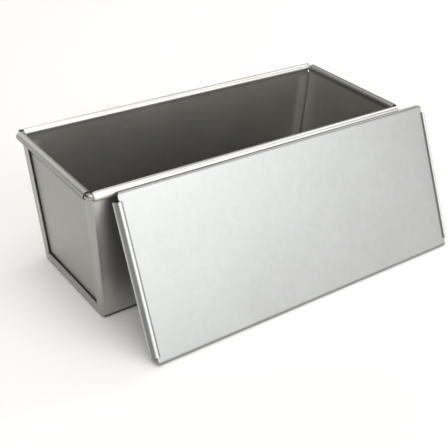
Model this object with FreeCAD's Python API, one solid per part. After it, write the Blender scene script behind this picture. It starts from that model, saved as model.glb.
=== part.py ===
import FreeCAD, Part
import math
import os

# A folded sheet-metal loaf pan with a wired rim, and its slide-on lid leaning against the front.
# Millimetres. X runs along the pan, the front is -Y, the table is z = 0 and the origin is the
# middle of the pan's foot. "Depth" is measured from a face into the metal, "out" away from it.

# ---- driving dimensions: sheet, wire and pan ----
sheet = 0.6                  # aluminised steel sheet, pan and lid alike
pan_height = 100.0           # table to the top of the rolled rim
mouth_length = 247.6         # inside, between the end panels, at the rim
mouth_width = 92.9           # inside, between the long walls, at the rim
foot_length = 234.4          # outside, over the hems, at the table
foot_width = 84.7            # outside, over the long walls, at the table
floor_bend = 1.5             # outer radius where the floor turns up into walls and hems
post_bend = 3.0              # outer radius of the four upright corner posts

# ---- driving dimensions: wired rim ----
wire_diameter = 4.0          # steel rod inside the rim
wire_clearance = 0.35        # rod to the sheet rolled round it
wire_drop = 0.2              # the rod lies this much below the middle of the roll
wire_bend = 3.2              # centre-line radius of the rod's corners
roll_turn = 300.0            # degrees that the sheet wraps round the rod
roll_setback = 0.2           # the rolls are whole until this far before the rod or a post bends
long_roll_tip = 1.5          # long rolls' outer half runs on to this far before the short rods
long_roll_notch = 0.5        # how far past its middle that outer half is kept
rim_gap = 0.3                # hems and posts stop this far under the rim

# ---- driving dimensions: folded seams at the ends ----
hem_side = 6.8               # visible width of the upright hems
hem_floor = 7.4              # visible width of the hem along the floor
seam_gap = 0.05              # between the hooked layers
slot_gap = 0.3               # between the hem's inner layer and the end panel
mitre_gap = 0.22             # where two hems meet at a lower corner

# ---- driving dimensions: lid ----
lid_end_play = 0.3           # lid channel to the end roll, each end, when closed
lid_side_play = 1.7          # lid flange to the long roll, each side, when closed
lid_lift_play = 0.4          # end roll up and down in the channel
flange_depth = 2.1           # long edges, bent down, over all
flange_bend = 2.0            # outer radius of that bend
crest_width = 2.9            # raised bead over each channel
crest_height = 1.2           # bead above the plate
crest_step_bend = 0.6        # centre-line radius of the step up to the bead
crest_bend = 1.0             # centre-line radius from the bead into the channel's outer wall
channel_bend = 1.7           # centre-line radius from that wall into the lip
channel_lip = 3.4            # lip under the end roll, over all
channel_setback = 6.0        # channels stop this far from the plate's long edges
tab_overhang = 0.9           # plate's corner tabs past the bead's foot
tab_corner = 3.0             # round corners of the plate

# ---- driving dimensions: how the lid leans ----
lid_lean = 26.3              # degrees from upright
lid_shift = 17.2             # lid's middle to the right of the pan's middle
lean_gap = 0.3               # lid to the rim it leans on

# ---- worked out ----
roll_radius = wire_diameter / 2 + wire_clearance + sheet
roll_bore = roll_radius - sheet
axis_height = pan_height - roll_radius
axis_x = mouth_length / 2 + roll_radius
axis_y = mouth_width / 2 + roll_radius
seam_depth = 4 * sheet + 2 * seam_gap + slot_gap
hem_nose = (3 * sheet + 2 * seam_gap) / 2
hook_nose = (seam_depth - sheet - seam_gap) / 2
post_top = axis_height - roll_radius - rim_gap
far = 3 * max(mouth_length, mouth_width, pan_height)   # past everything, for cutting blocks
tiny = 1e-4                                            # two points nearer than this are one


def wall_tilt(foot_half, axis_out, reach):
    """Outward lean of a wall from its foot that passes the rod's axis at the distance reach."""
    out = axis_out - foot_half
    return math.atan2(out, axis_height) - math.asin(reach / math.hypot(out, axis_height))


side_tilt = wall_tilt(foot_width / 2, axis_y, roll_bore)
end_tilt = wall_tilt(foot_length / 2, axis_x, roll_radius - seam_depth)
post_tilt = math.atan(math.cos(end_tilt) * math.tan(side_tilt))
post_flat = foot_length / 2 + post_top * math.tan(end_tilt) - post_bend / math.cos(end_tilt)
wall_inside = foot_width / 2 + post_top * math.tan(side_tilt) - sheet / math.cos(side_tilt)
corner_room = max(wire_bend, roll_radius)              # from a corner to where the rolls are whole
long_roll_half = min(axis_x - corner_room, post_flat) - roll_setback
end_roll_half = min(axis_y - corner_room, wall_inside) - roll_setback


def vec(x, y, z=0.0):
    return FreeCAD.Vector(x, y, z)


def placed(shape, origin, x_dir, y_dir):
    """The shape with its own X and Y turned to the two given directions, at origin."""
    turn = FreeCAD.Rotation(x_dir, y_dir, x_dir.cross(y_dir), "XYZ")
    shape.Placement = FreeCAD.Placement(origin, turn)
    return shape


def mirrored(shape, normal):
    return shape.mirror(vec(0, 0), normal)


def prism(points, low, high):
    """A flat outline, given by its corners, from the level low to the level high."""
    corners = [vec(a, b, low) for a, b in points]
    outline = Part.makePolygon(corners + corners[:1])
    return Part.Face(outline).extrude(vec(0, 0, high - low))


def above(height):
    """Everything higher than a level."""
    return Part.makeBox(2 * far, 2 * far, far, vec(-far, -far, height))


def sheet_side(points, bends, shift):
    """One face of a folded sheet: its centre line moved sideways, as a list of edges."""
    runs = [(end - start).normalize() for start, end in zip(points, points[1:])]
    sides = [vec(-run.y, run.x) for run in runs]
    edges = []
    start = points[0] + sides[0] * shift
    for i, bend in enumerate(bends):
        before, after = sides[i], sides[i + 1]
        corner = points[i + 1] + (before + after) * (shift / (1 + before.dot(after)))
        turn = math.atan2(runs[i].cross(runs[i + 1]).z, runs[i].dot(runs[i + 1]))
        radius = bend - shift * math.copysign(1, turn)
        reach = radius * math.tan(abs(turn) / 2)
        first = corner - runs[i] * reach
        last = corner + runs[i + 1] * reach
        inward = (runs[i + 1] - runs[i]).normalize()
        middle = corner + inward * (radius / math.cos(turn / 2) - radius)
        if (first - start).Length > tiny:
            edges.append(Part.makeLine(start, first))
        edges.append(Part.Arc(first, middle, last).toShape())
        start = last
    end = points[-1] + sides[-1] * shift
    if (end - start).Length > tiny:
        edges.append(Part.makeLine(start, end))
    return edges, points[0] + sides[0] * shift, end


def folded_sheet(points, bends, length):
    """A sheet folded along the centre line given by points and bend radii, this long."""
    corners = [vec(a, b) for a, b in points]
    left, left_start, left_end = sheet_side(corners, bends, sheet / 2)
    right, right_start, right_end = sheet_side(corners, bends, -sheet / 2)
    caps = [Part.makeLine(left_start, right_start), Part.makeLine(left_end, right_end)]
    outline = Part.Wire(Part.__sortEdges__(left + right + caps))
    return Part.Face(outline).extrude(vec(0, 0, length))


def rolled_edge(axis_out, tilt, length):
    """A wall's top from post_top up and round the rod; its own X is out, its own Y is up."""
    axis = vec(axis_out, axis_height)

    def on_roll(radius, turned):
        angle = math.pi - tilt - math.radians(turned)
        return axis + vec(math.cos(angle), math.sin(angle)) * radius

    def on_wall(radius):
        top = on_roll(radius, 0)
        return vec(top.x - (top.y - post_top) * math.tan(tilt), post_top)

    outer = [on_roll(roll_radius, turned) for turned in (0, roll_turn / 2, roll_turn)]
    inner = [on_roll(roll_bore, turned) for turned in (roll_turn, roll_turn / 2, 0)]
    edges = [
        Part.makeLine(on_wall(roll_radius), outer[0]),
        Part.Arc(*outer).toShape(),
        Part.makeLine(outer[-1], inner[0]),
        Part.Arc(*inner).toShape(),
        Part.makeLine(inner[-1], on_wall(roll_bore)),
        Part.makeLine(on_wall(roll_bore), on_wall(roll_radius)),
    ]
    return Part.Face(Part.Wire(edges)).extrude(vec(0, 0, length))


# ---- the ends, drawn flat: across the pan, up the end's slope, and depth into the pan ----

def to_left_end(shape):
    """A shape drawn flat in the end's own frame, put on the left end of the pan."""
    up = vec(-math.sin(end_tilt), 0, math.cos(end_tilt))
    return placed(shape, vec(-foot_length / 2, 0, 0), vec(0, 1, 0), up)


def inset(side, up):
    """Half the end's width, this far up and this far in from its upright edge."""
    return foot_width / 2 + up * math.tan(post_tilt) - side / math.cos(post_tilt)


def end_outline(side, floor):
    """The end's outline, drawn in by side and floor, and running on past the rim."""
    top = pan_height + roll_radius
    lower = inset(side, floor)
    upper = inset(side, top)
    return [(-lower, floor), (lower, floor), (upper, top), (-upper, top)]


def mitre_line():
    """An end's lower corner, and the way from there along the mitre to the hems' bent edges."""
    corner = vec(-inset(0, 0), 0)
    side, floor = hem_side - hem_nose, hem_floor - hem_nose
    to_window = vec(-inset(side, floor), floor) - corner
    return corner, to_window * (hem_floor / floor)


def seam_strips(side_path, side_bends, floor_path, floor_bends):
    """A folded strip along the three lower edges of an end, mitred at its two corners."""
    corner, mitre = mitre_line()
    reach = corner + mitre * 2
    length = pan_height + roll_radius
    along = vec(-math.sin(post_tilt), math.cos(post_tilt))
    inward = vec(math.cos(post_tilt), math.sin(post_tilt))

    post = folded_sheet(side_path, side_bends, length + foot_width)
    post = placed(post, corner + along * length, inward, vec(0, 0, 1))
    kept = [
        (corner.x, mitre_gap / 2),
        (reach.x, reach.y + mitre_gap / 2),
        (reach.x, length),
        (corner.x - length, length),
        (corner.x - length, mitre_gap / 2),
    ]
    post = post.common(prism(kept, -seam_depth, 2 * seam_depth))

    floor = folded_sheet(floor_path, floor_bends, 2 * foot_width)
    floor = placed(floor, vec(-foot_width, 0), vec(0, 1, 0), vec(0, 0, 1))
    kept = [
        (corner.x + mitre_gap / 2, 0),
        (-corner.x - mitre_gap / 2, 0),
        (-reach.x - mitre_gap / 2, reach.y),
        (reach.x + mitre_gap / 2, reach.y),
    ]
    floor = floor.common(prism(kept, -seam_depth, 2 * seam_depth))
    return [post, floor, mirrored(post, vec(1, 0, 0))]


def hem_path(width, bend):
    """From the hem's face round its edge and back under it, towards the corner."""
    edge = width - sheet / 2
    outer_depth = sheet / 2
    inner_depth = 2 * hem_nose - sheet / 2
    start = bend + 2 * seam_gap
    return [(start, inner_depth), (edge, inner_depth), (edge, outer_depth), (width - hem_nose, outer_depth)]


def hook_path(width, bend):
    """From the end panel round its edge and out between the hem's two layers."""
    edge = bend - hook_nose + sheet / 2
    outer_depth = 1.5 * sheet + seam_gap
    inner_depth = seam_depth - sheet / 2
    tip = width - hem_nose - 2 * seam_gap
    return [(tip, outer_depth), (edge, outer_depth), (edge, inner_depth), (bend, inner_depth)]


# ---- trough: floor, long walls with rolled tops, and the hems that hold the end panels ----

def tapered_block(depth, top):
    """The pan's outside drawn in by depth, up to the level top, with its folds rounded."""
    def half(foot, tilt, height):
        return foot / 2 + height * math.tan(tilt) - depth / math.cos(tilt)

    x0, x1 = half(foot_length, end_tilt, depth), half(foot_length, end_tilt, top)
    y0, y1 = half(foot_width, side_tilt, depth), half(foot_width, side_tilt, top)
    block = Part.makeWedge(-x0, depth, -y0, -y1, -x1, x0, top, y0, y1, x1)
    block = placed(block, vec(0, 0), vec(1, 0), vec(0, 0, 1))
    levels = [(edge, [vertex.Z for vertex in edge.Vertexes]) for edge in block.Edges]
    posts = [edge for edge, heights in levels if max(heights) - min(heights) > sheet]
    block = block.makeFillet(post_bend - depth, posts)
    base = [edge for edge in block.Edges if max(v.Z for v in edge.Vertexes) < depth + tiny]
    return block.makeFillet(floor_bend - depth, base)


def mitre_slits():
    """The cuts between the hems' faces at an end's two lower corners."""
    corner, mitre = mitre_line()
    start = corner + mitre * (post_bend / hem_side)
    stop = corner + mitre
    half = mitre_gap / 2
    points = [
        (start.x + half, start.y),
        (stop.x + half, stop.y),
        (stop.x, stop.y + half),
        (start.x, start.y + half),
    ]
    slit = prism(points, -sheet, 2 * sheet)
    return [slit, mirrored(slit, vec(1, 0, 0))]


def trough():
    body = tapered_block(0, post_top).cut(tapered_block(sheet, pan_height))
    window = prism(end_outline(hem_side - hem_nose, hem_floor - hem_nose), -sheet, sheet + seam_gap)
    cuts = [to_left_end(shape) for shape in [window] + mitre_slits()]
    folds = seam_strips(
        hem_path(hem_side, post_bend), [hem_nose - sheet / 2] * 2,
        hem_path(hem_floor, floor_bend), [hem_nose - sheet / 2] * 2,
    )
    folds = [to_left_end(fold).cut(above(post_top)) for fold in folds]
    cuts += [mirrored(cut, vec(1, 0, 0)) for cut in cuts]
    folds += [mirrored(fold, vec(1, 0, 0)) for fold in folds]
    tip = axis_x - long_roll_tip
    roll = rolled_edge(axis_y, side_tilt, 2 * tip)
    roll = placed(roll, vec(tip, 0, 0), vec(0, -1, 0), vec(0, 0, 1))
    # past the rod's bend only the outer half of the roll is left, so the rod can turn away
    notch = Part.makeBox(far, far, far, vec(long_roll_half, long_roll_notch - axis_y, 0))
    roll = roll.cut([notch, mirrored(notch, vec(1, 0, 0))])
    rolls = [roll, mirrored(roll, vec(0, 1, 0))]
    return body.cut(cuts).fuse(folds + rolls).removeSplitter()


# ---- end panels: a plate hooked into the hems, its top rolled round the rod ----

def left_end_panel():
    plate = prism(end_outline(post_bend, floor_bend), seam_depth - sheet, seam_depth)
    hook_bends = [hook_nose - sheet / 2] * 2
    hooks = seam_strips(
        hook_path(hem_side, post_bend), hook_bends,
        hook_path(hem_floor, floor_bend), hook_bends,
    )
    plate = to_left_end(plate).cut(above(post_top))
    inside = tapered_block(sheet + seam_gap / 2, post_top)
    hooks = [to_left_end(hook).common(inside) for hook in hooks]
    roll = rolled_edge(axis_x, end_tilt, 2 * end_roll_half)
    roll = placed(roll, vec(0, -end_roll_half, 0), vec(-1, 0, 0), vec(0, 0, 1))
    return plate.fuse(hooks + [roll]).removeSplitter()


# ---- rim wire: one rod bent to a rectangle, bare at its four corners ----

def rim_wire():
    bend_x = axis_x - wire_bend
    bend_y = axis_y - wire_bend
    height = axis_height - wire_drop
    section = Part.Face(Part.Wire(Part.makeCircle(wire_diameter / 2, vec(0, 0), vec(1, 0, 0))))
    along_x = section.copy()
    along_x.translate(vec(0, -axis_y, height))
    at_bend = section.copy()
    at_bend.translate(vec(-bend_x, -axis_y, height))
    corner = at_bend.revolve(vec(-bend_x, -bend_y, 0), vec(0, 0, 1), -90)
    long_leg = along_x.extrude(vec(-bend_x, 0, 0))
    short_section = Part.Face(Part.Wire(Part.makeCircle(wire_diameter / 2, vec(0, 0), vec(0, 1, 0))))
    short_section.translate(vec(-axis_x, 0, height))
    short_leg = short_section.extrude(vec(0, -bend_y, 0))
    quarter = long_leg.fuse([corner, short_leg])
    half = quarter.fuse(mirrored(quarter, vec(1, 0, 0)))
    return half.fuse(mirrored(half, vec(0, 1, 0))).removeSplitter()


# ---- lid, drawn lying as it does when closed: top face z = 0, y = 0 at its lower long edge ----

lid_length = 2 * (axis_x + roll_radius + lid_end_play + sheet)
lid_width = 2 * (axis_y + roll_radius + lid_side_play + sheet)
bead_foot = lid_length / 2 - crest_width
tab_half = bead_foot + tab_overhang
channel_depth = 2 * roll_radius + lid_lift_play + 2 * sheet


def lid_plate():
    """The flat plate with round corners and its corner tabs relieved beside the channels."""
    low = channel_setback
    high = lid_width - channel_setback
    outline = [
        (-tab_half, 0), (tab_half, 0), (tab_half, low - tab_overhang), (bead_foot, low),
        (bead_foot, high), (tab_half, high + tab_overhang), (tab_half, lid_width),
        (-tab_half, lid_width), (-tab_half, high + tab_overhang), (-bead_foot, high),
        (-bead_foot, low), (-tab_half, low - tab_overhang),
    ]
    return prism(outline, -channel_depth, sheet)


def long_edge():
    """One long edge: plate, bend and short flange, to the middle of the lid."""
    middle = lid_width / 2
    path = [(middle, -sheet / 2), (sheet / 2, -sheet / 2), (sheet / 2, -flange_depth)]
    edge = folded_sheet(path, [flange_bend - sheet / 2], 2 * tab_half)
    return placed(edge, vec(-tab_half, 0, 0), vec(0, 1, 0), vec(0, 0, 1))


def channel():
    """One short edge: step up to the bead, over it, down the outer wall and into the lip."""
    foot = bead_foot + sheet / 2
    bead = crest_height - sheet / 2
    wall = lid_length / 2 - sheet / 2
    under = sheet / 2 - channel_depth
    path = [
        (bead_foot - sheet, -sheet / 2), (foot, -sheet / 2), (foot, bead),
        (wall, bead), (wall, under), (wall + sheet / 2 - channel_lip, under),
    ]
    bends = [crest_step_bend, crest_step_bend, crest_bend, channel_bend]
    length = lid_width - 2 * channel_setback
    strip = folded_sheet(path, bends, length)
    return placed(strip, vec(0, lid_width - channel_setback, 0), vec(1, 0, 0), vec(0, 0, 1))


def closed_lid():
    half = long_edge()
    other = half.mirror(vec(0, lid_width / 2, 0), vec(0, 1, 0))
    limits = lid_plate()
    corners = [
        edge for edge in limits.Edges
        if abs(edge.Vertexes[0].Z - edge.Vertexes[1].Z) > sheet
        and abs(edge.CenterOfMass.y - lid_width / 2) > lid_width / 2 - tiny
    ]
    limits = limits.makeFillet(tab_corner, corners)
    plate = half.fuse(other).common(limits)
    right = channel()
    return plate.fuse([right, mirrored(right, vec(1, 0, 0))]).removeSplitter()


def front_limit(height):
    """How far back something in front of the pan can stand at this height, clear of the pan."""
    wall = -(foot_width / 2 + height * math.tan(side_tilt)) - lean_gap / math.cos(side_tilt)
    from_axis = abs(height - axis_height)
    reach = roll_radius + lean_gap
    if height > axis_height:
        wall = far
    if from_axis >= reach:
        return wall
    return min(wall, -axis_y - math.sqrt(reach * reach - from_axis * from_axis))


def leaning_foot():
    """Where the lid's lower edge stands so that the lid just clears the rim and the wall."""
    lean = math.radians(lid_lean)
    foot_height = flange_depth * math.sin(lean)
    touching = [
        (lid_width, flange_depth),
        (lid_width - sheet, flange_depth),
        (lid_width - channel_setback, channel_depth),
    ]
    limits = []
    for up, depth in touching:
        height = foot_height + up * math.cos(lean) - depth * math.sin(lean)
        limits.append(front_limit(height) - up * math.sin(lean) - depth * math.cos(lean))
    rise = axis_height - foot_height + sheet * math.sin(lean)
    reach = roll_radius + lean_gap
    # a rim below the lid's upper edge touches the plate itself
    if rise < lid_width * math.cos(lean) - reach * math.sin(lean):
        clear = reach + rise * math.sin(lean)
        limits.append(-axis_y - sheet * math.cos(lean) - clear / math.cos(lean))
    return vec(lid_shift, min(limits), foot_height)


def leaning_lid():
    lean = math.radians(lid_lean)
    up = vec(0, math.sin(lean), math.cos(lean))
    return placed(closed_lid(), leaning_foot(), vec(1, 0, 0), up)


left_panel = left_end_panel()
nodes = {
    "trough": trough(),
    "left_end_panel": left_panel,
    "right_end_panel": mirrored(left_panel, vec(1, 0, 0)),
    "rim_wire": rim_wire(),
    "lid": leaning_lid(),
}

os.makedirs("parts", exist_ok=True)
for name, shape in nodes.items():
    solids = shape.Solids
    print(name, len(solids), "solid", round(shape.Volume, 1), "mm3", shape.isValid())
    solids[0].exportStep("parts/" + name + ".step")
print("wall tilts", round(math.degrees(side_tilt), 3), round(math.degrees(end_tilt), 3))
print("lid", round(lid_length, 2), "x", round(lid_width, 2), "channel", round(channel_depth, 2))
print("lid foot", leaning_foot())
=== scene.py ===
import math

import bpy
import numpy as np
from mathutils import Matrix, Vector

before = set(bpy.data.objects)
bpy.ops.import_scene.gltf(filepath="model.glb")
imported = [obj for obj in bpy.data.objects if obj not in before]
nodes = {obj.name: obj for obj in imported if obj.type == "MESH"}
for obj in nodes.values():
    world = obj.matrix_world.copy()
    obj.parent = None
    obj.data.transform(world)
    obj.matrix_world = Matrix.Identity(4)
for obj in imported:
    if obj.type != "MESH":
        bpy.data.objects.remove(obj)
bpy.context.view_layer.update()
scene = bpy.context.scene


# ---- the view ----
# A standing person's look at the table: in front of the pan, to its left and well above it,
# with the pan's near-left corner and the face of the leaning lid towards them.

EYE = Vector((-0.32012, -0.43047, 0.34185))
TURNED_RIGHT = 0.6547                   # radians from the +Y direction towards +X
LOOKING_DOWN = 0.5496                   # radians below level
HEAD_TILT = 0.0561                      # radians
LENS_MM = 67.41
FILM_MM = 36.0
NEAREST_SEEN = 0.01

camera = bpy.data.objects.new("camera", bpy.data.cameras.new("camera"))
camera.data.lens = LENS_MM
camera.data.sensor_width = FILM_MM
camera.data.clip_start = NEAREST_SEEN
camera.matrix_world = (
    Matrix.Translation(EYE)
    @ Matrix.Rotation(-TURNED_RIGHT, 4, "Z")
    @ Matrix.Rotation(math.pi / 2 - LOOKING_DOWN, 4, "X")
    @ Matrix.Rotation(HEAD_TILT, 4, "Z")
)
scene.collection.objects.link(camera)
scene.camera = camera
scene.view_settings.view_transform = "Standard"


# ---- the table and the studio light ----
# A wide white table in a room that is bright overhead, behind and high on the left, with soft
# boxes in front and on the right, which the lid's satin face mirrors. The shadow falls left.

class Shade:
    """A material's value or colour; arithmetic on it adds the Math nodes that work it out."""

    def __init__(self, tree, socket=None):
        self.tree = tree
        self.socket = socket

    def node(self, kind, sockets=(), output=0, **settings):
        """A new node: its settings first, then its sockets by name or number."""
        made = self.tree.nodes.new(kind)
        for name, setting in settings.items():
            setattr(made, name, setting)
        for key, value in dict(sockets).items():
            if isinstance(value, Shade):
                self.tree.links.new(value.socket, made.inputs[key])
            else:
                made.inputs[key].default_value = value
        return Shade(self.tree, made.outputs[output] if made.outputs else None)

    def math(self, operation, *values):
        """A Math node on values that are numbers or Shades."""
        return self.node("ShaderNodeMath", enumerate(values), operation=operation)

    def __add__(self, other):
        return self.math("ADD", self, other)

    def __mul__(self, other):
        return self.math("MULTIPLY", self, other)

    def __sub__(self, other):
        return self.math("SUBTRACT", self, other)

    def __rsub__(self, other):
        return self.math("SUBTRACT", other, self)

    def __pow__(self, other):
        return self.math("POWER", self, other)

    def __abs__(self):
        return self.math("ABSOLUTE", self)

    __radd__ = __add__
    __rmul__ = __mul__


def larger(first, second):
    """The larger of two Shades at each place."""
    return first.math("MAXIMUM", first, second)


def new_material(name):
    """An empty material and its Shade, ready for nodes."""
    material = bpy.data.materials.new(name)
    material.use_nodes = True
    material.node_tree.nodes.clear()
    return material, Shade(material.node_tree)


TABLE_HALF = 30.0                       # metres, so that its edge lies near the horizon
TABLE_COLOUR = (0.95, 0.95, 0.95, 1.0)

corners = np.array([(-1, -1), (1, -1), (1, 1), (-1, 1)]) * TABLE_HALF
table_mesh = bpy.data.meshes.new("table")
table_mesh.from_pydata([(x, y, 0.0) for x, y in corners], [], [(0, 1, 2, 3)])
table = bpy.data.objects.new("table", table_mesh)
scene.collection.objects.link(table)
table_white, shade = new_material("table_white")
surface = shade.node("ShaderNodeBsdfDiffuse", {"Color": TABLE_COLOUR})
shade.node("ShaderNodeOutputMaterial", {"Surface": surface})
table_mesh.materials.append(table_white)

ROOM_COLOUR = (1.0, 0.985, 0.945, 1.0)
# Each patch of the room: the direction it lies in and how bright it is at its middle.
ROOM_PATCHES = (
    ((0.0, 0.0, 1.0), 3.16),            # the ceiling
    ((0.0, 0.990, 0.139), 2.87),        # the wall behind
    ((-0.507, -0.604, 0.616), 1.81),    # high up in front, on the left
    ((0.700, -0.700, 0.139), 0.51),     # low in front, on the right
)
PATCH_EDGE = 9.0                        # the higher, the smaller and sharper each patch is

room = bpy.data.worlds.new("room")
room.use_nodes = True
room.node_tree.nodes.clear()
shade = Shade(room.node_tree)
# A world's Generated coordinates are the direction that is looked in.
direction = shade.node("ShaderNodeTexCoord", output="Generated")
brightness = 0.0
for middle, level in ROOM_PATCHES:
    towards_middle = shade.node("ShaderNodeVectorMath", {0: direction, 1: middle},
                                output="Value", operation="DOT_PRODUCT")
    brightness = brightness + shade.math("MAXIMUM", towards_middle, 0.0) ** PATCH_EDGE * level
walls = shade.node("ShaderNodeBackground", {"Color": ROOM_COLOUR, "Strength": brightness})
shade.node("ShaderNodeOutputWorld", {"Surface": walls})
scene.world = room

LAMP_SIZE = 0.6
LAMP_AWAY = 1.6                         # from the pan's middle
PAN_MIDDLE = Vector((0.0, 0.0, 0.05))


def soft_box(name, towards, watts):
    """A square lamp that lies towards a direction from the pan, and faces the pan."""
    towards = Vector(towards).normalized()
    lamp = bpy.data.lights.new(name, "AREA")
    lamp.size = LAMP_SIZE
    lamp.energy = watts
    box = bpy.data.objects.new(name, lamp)
    box.location = PAN_MIDDLE + towards * LAMP_AWAY
    box.rotation_euler = towards.to_track_quat("Z", "Y").to_euler()
    scene.collection.objects.link(box)


soft_box("side_box", towards=(0.70, 0.20, 0.69), watts=2.64)
soft_box("high_box", towards=(0.20, -0.76, 0.62), watts=2.36)
soft_box("high_right_box", towards=(0.49, -0.65, 0.58), watts=1.84)
soft_box("low_box", towards=(0.25, -0.93, 0.26), watts=1.80)
soft_box("low_right_box", towards=(0.55, -0.77, 0.33), watts=1.14)


# ---- trough ----
# The floor and the two long walls are one folded sheet of aluminised steel, rolled over the
# rim's rod along its long edges and turned in at both ends as mitred hems.

JOINED_WITHIN = 2e-6                    # corners nearer than this are one, in metres
CRISP_EDGE = math.radians(32)           # edges sharper than this aren't shaded smooth


def smooth_folds(obj):
    """Joins a node's triangles and shades its bends smooth, and its flats and edges crisp."""
    obj.data.polygons.foreach_set("use_smooth", np.ones(len(obj.data.polygons), bool))
    weld = obj.modifiers.new("join", "WELD")
    weld.merge_threshold = JOINED_WITHIN
    split = obj.modifiers.new("edges", "EDGE_SPLIT")
    split.split_angle = CRISP_EDGE
    obj.modifiers.new("flats", "WEIGHTED_NORMAL")


def finish(node, material):
    """Gives a node its material in every slot, and smooth folds."""
    mesh = nodes[node].data
    for slot in range(len(mesh.materials)):
        mesh.materials[slot] = material
    smooth_folds(nodes[node])


def fade(value, start, end):
    """A mask that is 0 at start and 1 at end and beyond, smooth between; start may be larger."""
    return value.node("ShaderNodeMapRange", {"Value": value, "From Min": start, "From Max": end},
                      interpolation_type="SMOOTHSTEP")


def band(value, rise, fall):
    """A mask that is 1 between a rise and a fall, each given as a fade's start and end."""
    return fade(value, *rise) * fade(value, *fall)


def mix_colours(share, first, second, **settings):
    """A Mix node on two colours, which are its inputs 6 and 7, with their mix at output 2."""
    return share.node("ShaderNodeMix", {0: share, 6: first, 7: second},
                      output=2, data_type="RGBA", **settings)


def x_y_z(vector):
    """A vector's three numbers."""
    return [vector.node("ShaderNodeSeparateXYZ", {"Vector": vector}, output=axis)
            for axis in "XYZ"]


# The sheet's patterns, finest first: about how many spots there are in a metre, and how ragged.
# Below them, how far the roughness and the tone follow each, and how high the speckle stands.
SPECKLE = {"Scale": 1400.0, "Detail": 3.0}
MOTTLE = {"Scale": 170.0, "Detail": 2.0}
CLOUD = {"Scale": 22.0, "Detail": 4.0}
ROUGHER_BY_SPECKLE, ROUGHER_BY_CLOUD = 0.14, 0.10
TONE_BY_SPECKLE, TONE_BY_MOTTLE, TONE_BY_CLOUD = 0.9, 0.7, 0.7
DARKEST_TONE, PALEST_TONE = 0.93, 1.07  # times the sheet's colour
SPECKLE_BUMP, SPECKLE_DEPTH = 0.10, 0.0002


def satin_sheet(name, colour, roughness, marks):
    """Aluminised sheet: a dull metal with a fine speckle and faint clouds.

    marks(x, y, z, facing) gives (mask, strength) pairs, from the place and the way the surface
    faces: where light or shade is painted on the metal, and how many times lighter or darker it
    is.
    """
    material, shade = new_material(name)
    place = shade.node("ShaderNodeTexCoord", output="Object")
    facing = shade.node("ShaderNodeTexCoord", output="Normal")
    speckle, mottle, cloud = (
        shade.node("ShaderNodeTexNoise", {"Vector": place, **pattern})
        for pattern in (SPECKLE, MOTTLE, CLOUD))
    rough = roughness + (speckle - 0.5) * ROUGHER_BY_SPECKLE + (cloud - 0.5) * ROUGHER_BY_CLOUD
    pale = (0.5 + (speckle - 0.5) * TONE_BY_SPECKLE + (mottle - 0.5) * TONE_BY_MOTTLE
            + (cloud - 0.5) * TONE_BY_CLOUD)
    darkest, palest = ([c * times for c in colour] + [1.0]
                       for times in (DARKEST_TONE, PALEST_TONE))
    tone = mix_colours(pale, darkest, palest)
    for mask, strength in marks(*x_y_z(place), x_y_z(facing)):
        tone = mix_colours(mask, tone, [strength] * 3 + [1.0], blend_type="MULTIPLY")
    bumps = shade.node("ShaderNodeBump", {
        "Height": speckle, "Strength": SPECKLE_BUMP, "Distance": SPECKLE_DEPTH})
    surface = shade.node("ShaderNodeBsdfPrincipled", {
        "Base Color": tone, "Metallic": 1.0, "Roughness": rough, "Normal": bumps})
    shade.node("ShaderNodeOutputMaterial", {"Surface": surface})
    return material


SHEET_COLOUR = (0.392, 0.383, 0.372)
SHEET_ROUGHNESS = 0.36

# The outside of the pan at the table, and how its walls lean outwards, as run over rise.
FOOT_HALF_LENGTH = 0.1172
FOOT_HALF_WIDTH = 0.04235
SIDE_SLOPE = 0.0484
END_SLOPE = 0.0969
ROLL_FOOT_HEIGHT = 0.0935

# How many times lighter or darker than the sheet each mark is.
# painted light: the long walls are drawn paler than the hems of the same sheet
PAINTED_LIGHT_LONG_WALL = 1.25
# painted highlight on the long walls beside each end bend
PAINTED_HIGHLIGHT_END_BEND = 1.95
# painted highlight on the long rolls
PAINTED_HIGHLIGHT_LONG_ROLL = 1.85
# painted shadow along the foot, where the walls meet the table
PAINTED_SHADOW_FOOT = 0.06
# painted light on the trough's inside walls and floor
PAINTED_LIGHT_INSIDE_TROUGH = 1.4

# Where the marks fade in or out, as a fade's start and end in metres. Inwards from an end:
PAST_HEM = (0.0010, 0.0026)
WALL_STARTS = (0.0014, 0.0034)
BEND_STARTS = (0.0020, 0.0044)
BEND_ENDS = (0.0150, 0.0052)
# Up from the table:
FOOT_ENDS = (0.0028, 0.0014)
BEND_BRIGHTENS = (-0.005, 0.060)
BEND_UNDER_ROLL = (ROLL_FOOT_HEIGHT, 0.0900)
ROLL_STARTS = (ROLL_FOOT_HEIGHT - 0.0006, ROLL_FOOT_HEIGHT)
WALL_TOP = (0.0966, 0.0940)
OVER_AXIS = (0.0966, 0.0978)
# Outwards from the long wall's outside:
PROUD_OF_WALL = (0.0001, 0.0005)
# Towards the pan's middle, from y times the surface's y direction; and upwards:
FACES_ACROSS = (0.0, -0.020)
FACES_UP = (0.5, 0.9)


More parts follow.
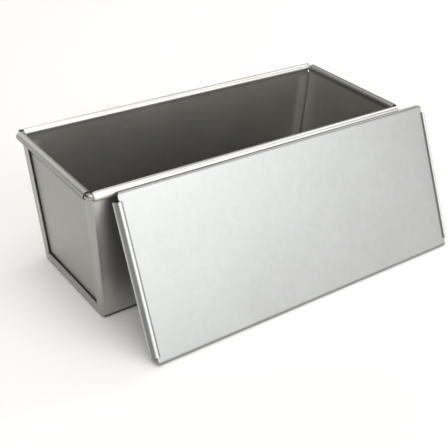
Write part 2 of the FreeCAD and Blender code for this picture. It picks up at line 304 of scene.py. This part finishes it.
def trough_marks(x, y, z, facing):
    """Painted light and shade: long walls and insides paler, end bends and rolls highlit, foot
    shaded.
    """
    from_end = FOOT_HALF_LENGTH + z * END_SLOPE - abs(x)
    past_side = abs(y) - z * SIDE_SLOPE - FOOT_HALF_WIDTH
    past_hem = fade(from_end, *PAST_HEM)
    wall = fade(from_end, *WALL_STARTS)
    bend = band(from_end, BEND_STARTS, BEND_ENDS) * band(z, BEND_BRIGHTENS, BEND_UNDER_ROLL)
    inside = fade(z, *WALL_TOP) * larger(
        fade(y * facing[1], *FACES_ACROSS), fade(facing[2], *FACES_UP))
    rolled = larger(fade(z, *OVER_AXIS), fade(past_side, *PROUD_OF_WALL))
    roll = past_hem * rolled * fade(z, *ROLL_STARTS)
    foot = past_hem * fade(z, *FOOT_ENDS)
    return ((wall, PAINTED_LIGHT_LONG_WALL), (bend, PAINTED_HIGHLIGHT_END_BEND), (roll, PAINTED_HIGHLIGHT_LONG_ROLL),
            (foot, PAINTED_SHADOW_FOOT), (inside, PAINTED_LIGHT_INSIDE_TROUGH))


finish("trough", satin_sheet("trough_sheet", SHEET_COLOUR, SHEET_ROUGHNESS, trough_marks))


# ---- end panels ----
# A flat tapered plate of the same sheet closes each end. It is hooked into the trough's hems
# on three sides, and its top edge is rolled round the rod.

# painted shade on the plate just under the roll
PAINTED_SHADE_UNDER_ROLL = 0.50
# painted highlight on the top of the end roll
PAINTED_HIGHLIGHT_PANEL_ROLL = 1.4
# painted shade: the plate darker towards its top
PAINTED_SHADE_TOWARDS_TOP = 0.88
# painted light on the plate's inside face
PAINTED_LIGHT_INSIDE_PANEL = 2.0

# Where the marks fade in or out, in metres up from the table:
ROLL_AXIS_HEIGHT = 0.0970
DARKENS_UPWARDS = (0.020, 0.085)
SHADE_STARTS = (0.0862, 0.0886)
SHADE_ENDS = (ROLL_AXIS_HEIGHT + 0.0010, ROLL_AXIS_HEIGHT - 0.0012)
HIGHLIGHT_ABOVE = (ROLL_AXIS_HEIGHT, ROLL_AXIS_HEIGHT + 0.0014)
# Towards the pan's middle, from x times the surface's x direction:
FACES_ALONG = (0.0, -0.050)


def panel_marks(x, y, z, facing):
    """Painted shade on the plate towards its top and under the roll; painted light on roll top
    and inside.
    """
    inside = fade(x * facing[0], *FACES_ALONG)
    under = (1.0 - inside) * band(z, SHADE_STARTS, SHADE_ENDS)
    return ((under, PAINTED_SHADE_UNDER_ROLL), (fade(z, *HIGHLIGHT_ABOVE), PAINTED_HIGHLIGHT_PANEL_ROLL),
            (fade(z, *DARKENS_UPWARDS), PAINTED_SHADE_TOWARDS_TOP), (inside * fade(z, *WALL_TOP), PAINTED_LIGHT_INSIDE_PANEL))


panel_sheet = satin_sheet("panel_sheet", SHEET_COLOUR, SHEET_ROUGHNESS, panel_marks)
finish("left_end_panel", panel_sheet)
finish("right_end_panel", panel_sheet)


# ---- rim wire ----
# One bright steel rod, bent to the rim's rectangle with round corners and butted end to end.
# The rolls hold it, and it shows only at the four corners.

WIRE_COLOUR = (0.42, 0.41, 0.40)
WIRE_ROUGHNESS = 0.30


def no_marks(x, y, z, facing):
    """Plain rod, the same all round."""
    return ()


finish("rim_wire", satin_sheet("rim_wire", WIRE_COLOUR, WIRE_ROUGHNESS, no_marks))


# ---- lid ----
# A flat sheet with short turned-down long edges, and a raised bead and channel along each short
# edge that slides over the pan's end rolls. It leans on the pan's front, face outwards.

LID_COLOUR = (0.612, 0.625, 0.615)
PAINTED_SHADE_CREASE = 0.45                           # how dark the painted shade in the step up to the bead is
# painted shade on the channels' outer walls
PAINTED_SHADE_CHANNEL_WALL = 0.36
# painted highlight on the bead tops
PAINTED_HIGHLIGHT_BEAD_TOP = 1.45
# painted shade along the lid's lower bend
PAINTED_SHADE_LOWER_BEND = 0.40
# painted shade on the lid's top bend
PAINTED_SHADE_UPPER_BEND = 0.72
# painted shadow on the top flange, in the gap below the pan's roll
PAINTED_GAP_SHADOW = 0.30

LID_LEAN = math.radians(26.3)
LID_FOOT = Vector((0.0172, -0.10282, 0.00093))
LID_WIDTH = 0.1093
BEAD_FOOT = 0.1277                      # from the lid's middle to the step up to the bead
CHANNEL_SETBACK = 0.006                 # from the lid's long edges to the bead's ends
lid_up = Vector((0.0, math.sin(LID_LEAN), math.cos(LID_LEAN)))
lid_out = Vector((0.0, -math.cos(LID_LEAN), math.sin(LID_LEAN)))

# Where the marks fade in or out, in metres. Up the lid's face from its lower edge:
BEAD_STARTS = (CHANNEL_SETBACK - 0.0006, CHANNEL_SETBACK)
BEAD_ENDS = (LID_WIDTH - CHANNEL_SETBACK + 0.0006, LID_WIDTH - CHANNEL_SETBACK)
LOWER_STARTS = (0.0002, 0.0006)
LOWER_ENDS = (0.0032, 0.0010)
UPPER_STARTS = (LID_WIDTH - 0.0024, LID_WIDTH - 0.0012)
# Across, from the lid's middle:
CREASE_STARTS = (BEAD_FOOT - 0.0014, BEAD_FOOT - 0.0009)
CREASE_ENDS = (BEAD_FOOT + 0.0004, BEAD_FOOT)
BEAD_TOP_STARTS = (BEAD_FOOT + 0.0002, BEAD_FOOT + 0.0006)
CHANNEL_WALL_STARTS = (BEAD_FOOT + 0.0020, BEAD_FOOT + 0.0026)
UPPER_EDGE_ENDS = (0.1286, 0.1282)
# Out of the lid's face:
ON_BEAD = (0.0003, 0.0008)
NEAR_FACE = (-0.0052, -0.0024)
ON_LOWER_BEND = (-0.0012, -0.0006)
BELOW_UPPER_BEND = (-0.0009, -0.0013)


def lid_marks(x, y, z, facing):
    """Painted shade along the beads and bends, on channel walls and edges; painted highlight on
    bead tops.
    """
    across = abs(x - LID_FOOT.x)
    up = y * lid_up.y + z * lid_up.z - LID_FOOT.dot(lid_up)
    out = y * lid_out.y + z * lid_out.z - LID_FOOT.dot(lid_out)
    along_bead = band(up, BEAD_STARTS, BEAD_ENDS)
    crease = along_bead * band(across, CREASE_STARTS, CREASE_ENDS)
    wall = fade(across, *CHANNEL_WALL_STARTS) * fade(out, *NEAR_FACE)
    bead = along_bead * fade(out, *ON_BEAD) * fade(across, *BEAD_TOP_STARTS)
    lower = band(up, LOWER_STARTS, LOWER_ENDS) * fade(out, *ON_LOWER_BEND)
    upper = fade(up, *UPPER_STARTS) * fade(across, *UPPER_EDGE_ENDS)
    gap_shade = upper * fade(out, *BELOW_UPPER_BEND)
    return ((crease, PAINTED_SHADE_CREASE), (wall, PAINTED_SHADE_CHANNEL_WALL), (bead, PAINTED_HIGHLIGHT_BEAD_TOP), (lower, PAINTED_SHADE_LOWER_BEND),
            (upper, PAINTED_SHADE_UPPER_BEND), (gap_shade, PAINTED_GAP_SHADOW))


finish("lid", satin_sheet("lid_sheet", LID_COLOUR, SHEET_ROUGHNESS, lid_marks))
